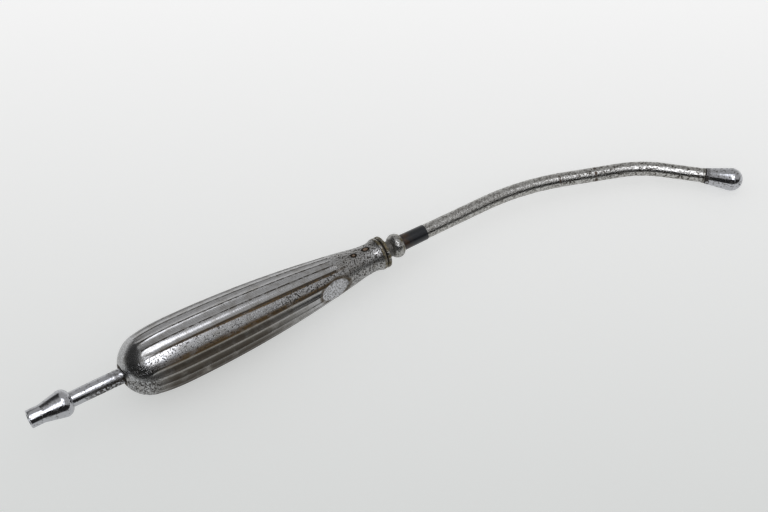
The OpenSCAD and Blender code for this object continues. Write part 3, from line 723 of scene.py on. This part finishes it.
satin_plate, tree, place, along, _, _ = started("satin nickel plate, specked")
fine = spots(tree, place, 0.36, 0.6, 0.1, 2)
broad = spots(tree, place, 0.8, 0.6, 0.1, 5)
farther = ramp(tree, along, 58, 76)
crowd = joined(tree, "MULTIPLY", farther, joined(tree, "MAXIMUM", broad, 0.55), 0.95)
pits = joined(tree, "MULTIPLY", fine, joined(tree, "MAXIMUM", 0.55, crowd))
rings = [add(tree, "Math", [along, middle, width], operation="COMPARE")
         for middle, width in RUST_RINGS]
rust = joined(tree, "MULTIPLY", joined(tree, "MAXIMUM", *rings),
              spots(tree, place, 0.6, 0.8, 0.15, 4))
colour = tinted(tree, srgb("BEBDBA"), (joined(tree, "MULTIPLY", broad, 0.35), srgb("85817A")),
                (pits, srgb("37322B")), (joined(tree, "MULTIPLY", rust, 0.85), srgb("3E2C1C")))
marks = joined(tree, "MAXIMUM", pits, rust)
finished(satin_plate, colour, add(tree, "MapRange", [marks, 0, 1, 0.17, 0.5]),
         joined(tree, "MULTIPLY", pits, -1))

# %% [markdown]
# The handle wears the most marks. Its relief comes first: faint tool lines across the hollow of
# each flute, and pits, which crowd on the bands, on the neck and under the dome. The back half of
# the band is rubbed by the palm and keeps only a few. Real pits are craters in the plate, so the
# same mask will darken the colour, roughen the surface and sink it.

# %% Pitted plate: tool lines and pits
HALF_BAND = BAND / 2
LINE_PHASE, LINE_LEAN = 7.5, 0.5

pitted_plate, tree, place, along, _, _ = started("old nickel plate, pitted, brown patina")
turn, hollow, arris, flat = (add(tree, "Attribute", output=2, attribute_name=label)
                             for label in ("turn", "hollow", "arris", "flat"))
wave = joined(tree, "ADD", joined(tree, "MULTIPLY", along, LINE_PHASE),
              joined(tree, "MULTIPLY", turn, LINE_LEAN))
tool = joined(tree, "MULTIPLY", add(tree, "Math", [wave], operation="SINE"), hollow)

from_band = add(tree, "Math", [turn], operation="ABSOLUTE")
on_band = ramp(tree, from_band, HALF_BAND + 0.5, HALF_BAND - 1)
neck_end = ramp(tree, along, 80, 87)
dome_end = ramp(tree, along, 13, 9)
under_dome = joined(tree, "MULTIPLY", dome_end,
                    joined(tree, "MAXIMUM", ramp(tree, turn, -HALF_BAND - 0.5, -30), 0.3))
rubbed = joined(tree, "MULTIPLY", on_band, ramp(tree, along, 62, 44))
fine = spots(tree, place, 0.28, 0.62, 0.14, 3)
coarse = joined(tree, "MULTIPLY", spots(tree, place, 0.42, 0.5, 0.1, 3),
                joined(tree, "MAXIMUM", dome_end, joined(tree, "MULTIPLY", neck_end, 0.35)))
few = joined(tree, "MULTIPLY", rubbed, spots(tree, place, 0.28, 0.36, 0.1, 3))
many = joined(tree, "MULTIPLY", joined(tree, "MAXIMUM", fine, coarse),
              joined(tree, "SUBTRACT", 1, rubbed))
fine = joined(tree, "MAXIMUM", many, few)
crowd = joined(tree, "MAXIMUM", on_band, neck_end, under_dome, 0.15)
pits = joined(tree, "MULTIPLY", fine, crowd, 0.92)
print("tool lines and pits:", len(tree.nodes), "nodes")

# %% [markdown]
# Then comes what has settled on the plate, and some painted shade. A brown film lies along both
# edges of the bands and in the lower flutes, but not at the top of each, which polishing reaches.
# A thin dark line follows the arrises of all other flutes, and a dark brown rim of painted shade
# and patina follows the wall of the finger flat. These could be painted by hand, but masks made
# from the angle and the flutes' own pitch stay in place when a size changes.

# %% Pitted plate: patina, dark lines and painted shade
below = joined(tree, "MULTIPLY", ramp(tree, along, 6, 15), ramp(tree, along, 74, 48),
               ramp(tree, turn, 1.5 - HALF_BAND, -HALF_BAND - 0.5))
flutes_down = joined(tree, "MULTIPLY", joined(tree, "ADD", turn, HALF_BAND),
                     -1 / math.degrees(flute_pitch))
in_flute = add(tree, "Math", [flutes_down], operation="FRACT")
patchy = spots(tree, place, 2.2, 1.35, 0.25, 5)
belly = joined(tree, "MULTIPLY", below, ramp(tree, in_flute, 0.22, 0.42), patchy)
to_neck = joined(tree, "MULTIPLY", ramp(tree, along, 20, 55), 4)
both_edges = ramp(tree, joined(tree, "ADD", from_band, to_neck), HALF_BAND - 2.5, HALF_BAND - 0.5)
lower_edge = joined(tree, "MULTIPLY", ramp(tree, turn, -4, -8), 0.9)
edges = joined(tree, "MULTIPLY", joined(tree, "MAXIMUM", both_edges, lower_edge),
               ramp(tree, from_band, HALF_BAND + 3.5, HALF_BAND + 1.5),
               ramp(tree, along, 8, 20), ramp(tree, along, 89, 82), patchy)
brown = joined(tree, "MAXIMUM", edges, joined(tree, "MULTIPLY", belly, 0.8))
# a thin dark line along each arris, kept off the lower flutes
line = joined(tree, "MULTIPLY", ramp(tree, arris, 0.4, 0.2),
              joined(tree, "MAXIMUM", spots(tree, place, 0.9, 1.3, 0.3, 3), 0.6),
              ramp(tree, below, 0.5, 0.1))
# painted shade with patina: a dark brown band round the wall of the finger flat
flat_rim_shade_and_patina = joined(tree, "MULTIPLY", ramp(tree, flat, -1.2, -0.5), ramp(tree, flat, 0.2, -0.1),
             spots(tree, place, 1.2, 1.2, 0.3, 4))
on_flat = ramp(tree, flat, -0.1, 0.2)
print("with patina and dirt:", len(tree.nodes), "nodes")

# %% [markdown]
# The layers of colour go on mostly in the order in which they came to the real handle: plate,
# tool lines, film, pits, the dark arris lines and the flat's rim of painted shade and patina,
# then the paler finger flat with its own pits. Last are two flakes of plate lost from the neck,
# each an oval of dull brass with a dark rim. Film and the flat's rim aren't metal, so they also
# hide the metal under them. The flat has gone dull too and mirrors little.

# %% Pitted plate: colours, flakes and relief
FLAKES = ((98, 46, 1.15), (92.6, 38, 0.8))
MM_A_DEGREE, FLAKE_STRETCH, LINE_DEPTH = 0.095, 1.5, 0.007

broad = spots(tree, place, 1.5, 0.45, 0.12, 6)
colour = tinted(tree, srgb("BBBBBC"), (joined(tree, "MULTIPLY", broad, 0.4), srgb("827D74")),
                (joined(tree, "MULTIPLY", tool, 0.2), srgb("5E5A53")),
                (joined(tree, "MULTIPLY", below, 0.55), srgb("6B6250")),
                (joined(tree, "MULTIPLY", neck_end, 0.15), srgb("6B6040")),
                (joined(tree, "MULTIPLY", belly, 0.85), srgb("443A2B")),
                (edges, srgb("5E4518")), (pits, srgb("2E2922")),
                (joined(tree, "MULTIPLY", line, 0.92), srgb("2E261B")),
                (joined(tree, "MULTIPLY", flat_rim_shade_and_patina, 0.95), srgb("4C3C1E")),
                (on_flat, srgb("E6E7EB")),
                (joined(tree, "MULTIPLY", on_flat, fine, 0.75), srgb("57524A")))
for middle, around, size in FLAKES:
    round_it = joined(tree, "MULTIPLY", joined(tree, "SUBTRACT", turn, around), MM_A_DEGREE,
                      FLAKE_STRETCH)
    along_it = joined(tree, "SUBTRACT", along, middle)
    squares = [add(tree, "Math", [gap, 2], operation="POWER") for gap in (round_it, along_it)]
    reach = add(tree, "Math", [joined(tree, "ADD", *squares)], operation="SQRT")
    colour = tinted(tree, colour, (ramp(tree, reach, size + 0.75, size + 0.4), srgb("241E17")),
                    (ramp(tree, reach, size - 0.1, size - 0.4), srgb("8B7869")))
worn = joined(tree, "MAXIMUM", pits, brown, line, joined(tree, "MULTIPLY", on_flat, 0.6))
height = joined(tree, "SUBTRACT", joined(tree, "MULTIPLY", tool, LINE_DEPTH), pits)
film = joined(tree, "MULTIPLY",
              joined(tree, "MAXIMUM", brown, flat_rim_shade_and_patina, joined(tree, "MULTIPLY", on_flat, 0.7)), 0.92)
finished(pitted_plate, colour, add(tree, "MapRange", [worn, 0, 1, 0.2, 0.5]), height, film)

# %% [markdown]
# The rims and the bead rub on everything, so the plate is worn through to brass on their edges,
# and the waist between them is darkened as painted shade. The distance from the axis tells a rim's
# edge from its faces, and the place along the axis picks out the bead's front and the waist.

# %% Worn rim
worn_rim, tree, place, along, across, up = started("nickel plate worn through to brass")
squares = [joined(tree, "MULTIPLY", side, side) for side in (across, up)]
radius = add(tree, "Math", [joined(tree, "ADD", *squares)], operation="SQRT")
edge = ramp(tree, radius, 5.25, 5.6)
bead_edge = joined(tree, "MULTIPLY", ramp(tree, along, bead_front - 1.6, bead_front - 1.1),
                   ramp(tree, radius, 2.9, 3.2))
# painted shade: the narrow waist between the rim and the bead is darkened
waist_shade = joined(tree, "MULTIPLY", ramp(tree, along, waist - 0.3, waist + 0.3),
                    ramp(tree, along, bead_back + 0.7, bead_back - 0.1),
                    ramp(tree, radius, 5.2, 3.6))
fine = spots(tree, place, 0.3, 0.55, 0.14, 3)
brass = joined(tree, "MULTIPLY", joined(tree, "MAXIMUM", edge, bead_edge),
               spots(tree, place, 0.9, 0.85, 0.2, 4))
colour = tinted(tree, srgb("ABAAA7"), (joined(tree, "MULTIPLY", brass, 0.9), srgb("6A5D3A")),
                (joined(tree, "MULTIPLY", waist_shade, 0.7), srgb("3B362E")),
                (joined(tree, "MULTIPLY", fine, 0.7), srgb("332D24")))
worn = joined(tree, "MAXIMUM", fine, brass, waist_shade)
finished(worn_rim, colour, add(tree, "MapRange", [worn, 0, 1, 0.18, 0.45]),
         joined(tree, "MULTIPLY", fine, -1),
         joined(tree, "MULTIPLY", joined(tree, "MAXIMUM", brass, waist_shade), 0.4))

# %% [markdown]
# The small pieces hardly show, so plain finishes do. Bare brass goes brown and blotchy. The ring
# behind the tip keeps its plate between two brass shoulders. The sleeve is blackened and satin,
# and rubbed to brown beside the bead. The washers are vulcanised fibre, dark with oil.

# %% Bare brass, plated ring, black oxide and fibre
bare_brass, tree, place, *_ = started("bare brass, tarnished")
blotches = spots(tree, place, 0.8, 0.6, 0.2, 4)
finished(bare_brass, tinted(tree, srgb("4A4030"), (blotches, srgb("1E1913"))), 0.55)

plated_ring, tree, place, along, _, _ = started("brass, its ring plated")
specks = joined(tree, "MULTIPLY", spots(tree, place, 0.4, 0.5, 0.1, 3), 0.7)
colour = tinted(tree, srgb("8F8D88"), (ramp(tree, along, 0, -0.1), srgb("6B5A36")),
                (ramp(tree, along, RING_T, RING_T + 0.1), srgb("6B5A36")), (specks, srgb("37322B")))
finished(plated_ring, colour, 0.3)

black_oxide, tree, place, along, _, _ = started("black sleeve, satin", metal=0)
worn = joined(tree, "MULTIPLY", ramp(tree, along, bead_front + 4.2, bead_front + 1.8),
              spots(tree, place, 0.9, 1.05, 0.25, 4))
finished(black_oxide, tinted(tree, srgb("1A1D23"), (worn, srgb("46301C"))), 0.32)

fibre, *_ = started("vulcanised fibre, oiled", metal=0)
finished(fibre, srgb("241A12"), 0.6)

for material, pieces in ((bright_plate, (nipple, stem, tip)), (satin_plate, (tube,)),
                         (pitted_plate, (upper_shell, lower_shell)),
                         (worn_rim, (collar, coupling)), (bare_brass, (bush,)),
                         (plated_ring, (end_bush,)), (black_oxide, (sleeve,)),
                         (fibre, (washer, tip_washer))):
    for piece in pieces:
        piece.data.materials.append(material)

# %% [markdown]
# The photo was taken from above, from behind the nipple's left, with a long lens. The camera
# looks at a point on the table near the handle's front end, from about half a metre away.

# %% Camera
ELEVATION, AZIMUTH, DISTANCE = math.radians(52.5), math.radians(-122.3), 0.522
FOCAL_PIXELS, PHOTO_WIDTH = 1400, 768
AIM = Vector((0.0031, 0.0196, 0))

camera_data = bpy.data.cameras.new("camera")
camera_data.sensor_width = 36
camera_data.lens = FOCAL_PIXELS / PHOTO_WIDTH * camera_data.sensor_width
camera = bpy.data.objects.new("camera", camera_data)
bpy.context.scene.collection.objects.link(camera)
near = Vector((math.cos(AZIMUTH), math.sin(AZIMUTH), 0))
seen_from = near * math.cos(ELEVATION) + Vector((0, 0, math.sin(ELEVATION)))
camera.location = AIM + seen_from * DISTANCE
camera.rotation_euler = seen_from.to_track_quat("Z", "Y").to_euler()
bpy.context.scene.camera = camera
bpy.context.scene.view_settings.view_transform = "Standard"
print(f"camera {camera.location.z:.3f} m above the table, lens {camera_data.lens:.1f} mm")

# %% [markdown]
# Polished metal shows the room, and the reflections in the photo give the room away. A softbox
# hangs overhead and ends on the right, for the highlight fades out halfway along the handle. Under
# it, on the camera's side, the room is dark, and so it is on the left, which blackens the dome.
# The world is painted by the direction of a ray: its angle in the plane of camera and zenith, in
# degrees, and how far it points to the right. Only mirrors see that room. Rays that carry light to
# the paper see an even glow instead, since the shadows in the photo are very soft, and the camera
# sees a pale backdrop.

# %% Studio
OVERHEAD, OVERHEAD_SIDES = (48, 91, 5, 10), (-0.03, 0.32, 0.15, 0.14)
CAMERA_SIDE, FAR_SIDE = (-10, 44, 8, 5), (172, 180, 25, 1)
LEFT_HEIGHT, LEFT_SIDES = (-10, 150, 8, 15), (-1, -0.52, 0.1, 0.2)
EVEN_GLOW, BACKDROP = 0.42, 0.86

world = bpy.data.worlds.new("studio")
bpy.context.scene.world = world
world.use_nodes = True
tree = world.node_tree
ray = add(tree, "TexCoord", output=0)
right = Vector((0, 0, 1)).cross(near)
towards, sideways, up = (
    add(tree, "VectorMath", [ray, direction], output=1, operation="DOT_PRODUCT")
    for direction in (near, right, (0, 0, 1)))
angle = joined(tree, "MULTIPLY", add(tree, "Math", [up, towards], operation="ARCTAN2"),
               180 / math.pi)


def between(value, low, high, soft_low, soft_high):
    """Mask that is 1 between two limits and fades out softly beyond them."""
    fades = [add(tree, "MapRange", [value, *limits], interpolation_type="SMOOTHSTEP")
             for limits in ((low - soft_low, low, 0, 1), (high, high + soft_high, 1, 0))]
    return joined(tree, "MULTIPLY", *fades)


def grey(level):
    """A neutral light of the given level."""
    return (level, level, level, 1)


softbox = joined(tree, "MULTIPLY", between(angle, *OVERHEAD), between(sideways, *OVERHEAD_SIDES))
left = joined(tree, "MULTIPLY", between(sideways, *LEFT_SIDES), between(angle, *LEFT_HEIGHT))
room = tinted(tree, grey(0.5), (between(angle, *FAR_SIDE), grey(0.7)), (left, grey(0.05)),
              (between(angle, *CAMERA_SIDE), grey(0.025)), (softbox, (3, 3.05, 3.2, 1)))
room = tinted(tree, grey(EVEN_GLOW), (add(tree, "LightPath", output="Is Glossy Ray"), room),
              (add(tree, "LightPath", output="Is Camera Ray"), grey(BACKDROP)))
tree.links.new(room, tree.nodes["Background"].inputs["Color"])
print("studio:", len(tree.nodes), "nodes")

# %% [markdown]
# The table is pale paper, its colour painted darker towards the camera as painted shade. Its own
# glow keeps it as pale as in the photo, and only the camera and mirrors see that glow, so it lights
# nothing and the soft shadow stays. The paper ends just in front of the picture. Other views would
# see that edge, so it exists only for reflections, where it keeps the dark stripe along the metal
# as wide as in the photo.

# %% Floor
FLOOR_FAR, FLOOR_NEAR_SHADED, PAST_PAPER = srgb("EBEBEB"), srgb("C9CBCA"), srgb("2A2A2A")
FADE_START, FADE_END, PAPER_END, PAPER_EDGE = -0.16, 0.13, 0.12, 0.02
FLOOR_HALF, GLOW, SHEEN = 2, 0.67, 0.1

floor_mesh = bpy.data.meshes.new("floor")
floor_mesh.from_pydata([(x * FLOOR_HALF, y * FLOOR_HALF, 0)
                        for x, y in ((-1, -1), (1, -1), (1, 1), (-1, 1))], [], [(0, 1, 2, 3)])
floor = bpy.data.objects.new("floor", floor_mesh)
bpy.context.scene.collection.objects.link(floor)
paper = bpy.data.materials.new("pale table paper")
paper.use_nodes = True
tree = paper.node_tree
depth = add(tree, "VectorMath", [add(tree, "NewGeometry"), near], output=1,
            operation="DOT_PRODUCT")
by_camera, by_mirror = (add(tree, "LightPath", output=f"Is {kind} Ray")
                        for kind in ("Camera", "Glossy"))
past_end = joined(tree, "MULTIPLY", ramp(tree, depth, PAPER_END, PAPER_END + PAPER_EDGE), by_mirror)
# painted shade: the paper's colour fades darker towards the camera
colour = tinted(tree, FLOOR_FAR, (ramp(tree, depth, FADE_START, FADE_END), FLOOR_NEAR_SHADED),
                (past_end, PAST_PAPER))
finished(paper, colour, 0.9)
glow = joined(tree, "MULTIPLY", joined(tree, "MAXIMUM", by_camera, by_mirror), GLOW)
shader = tree.nodes["Principled BSDF"]
tree.links.new(colour, shader.inputs["Emission Color"])
tree.links.new(glow, shader.inputs["Emission Strength"])
shader.inputs["Specular IOR Level"].default_value = SHEEN
floor_mesh.materials.append(paper)
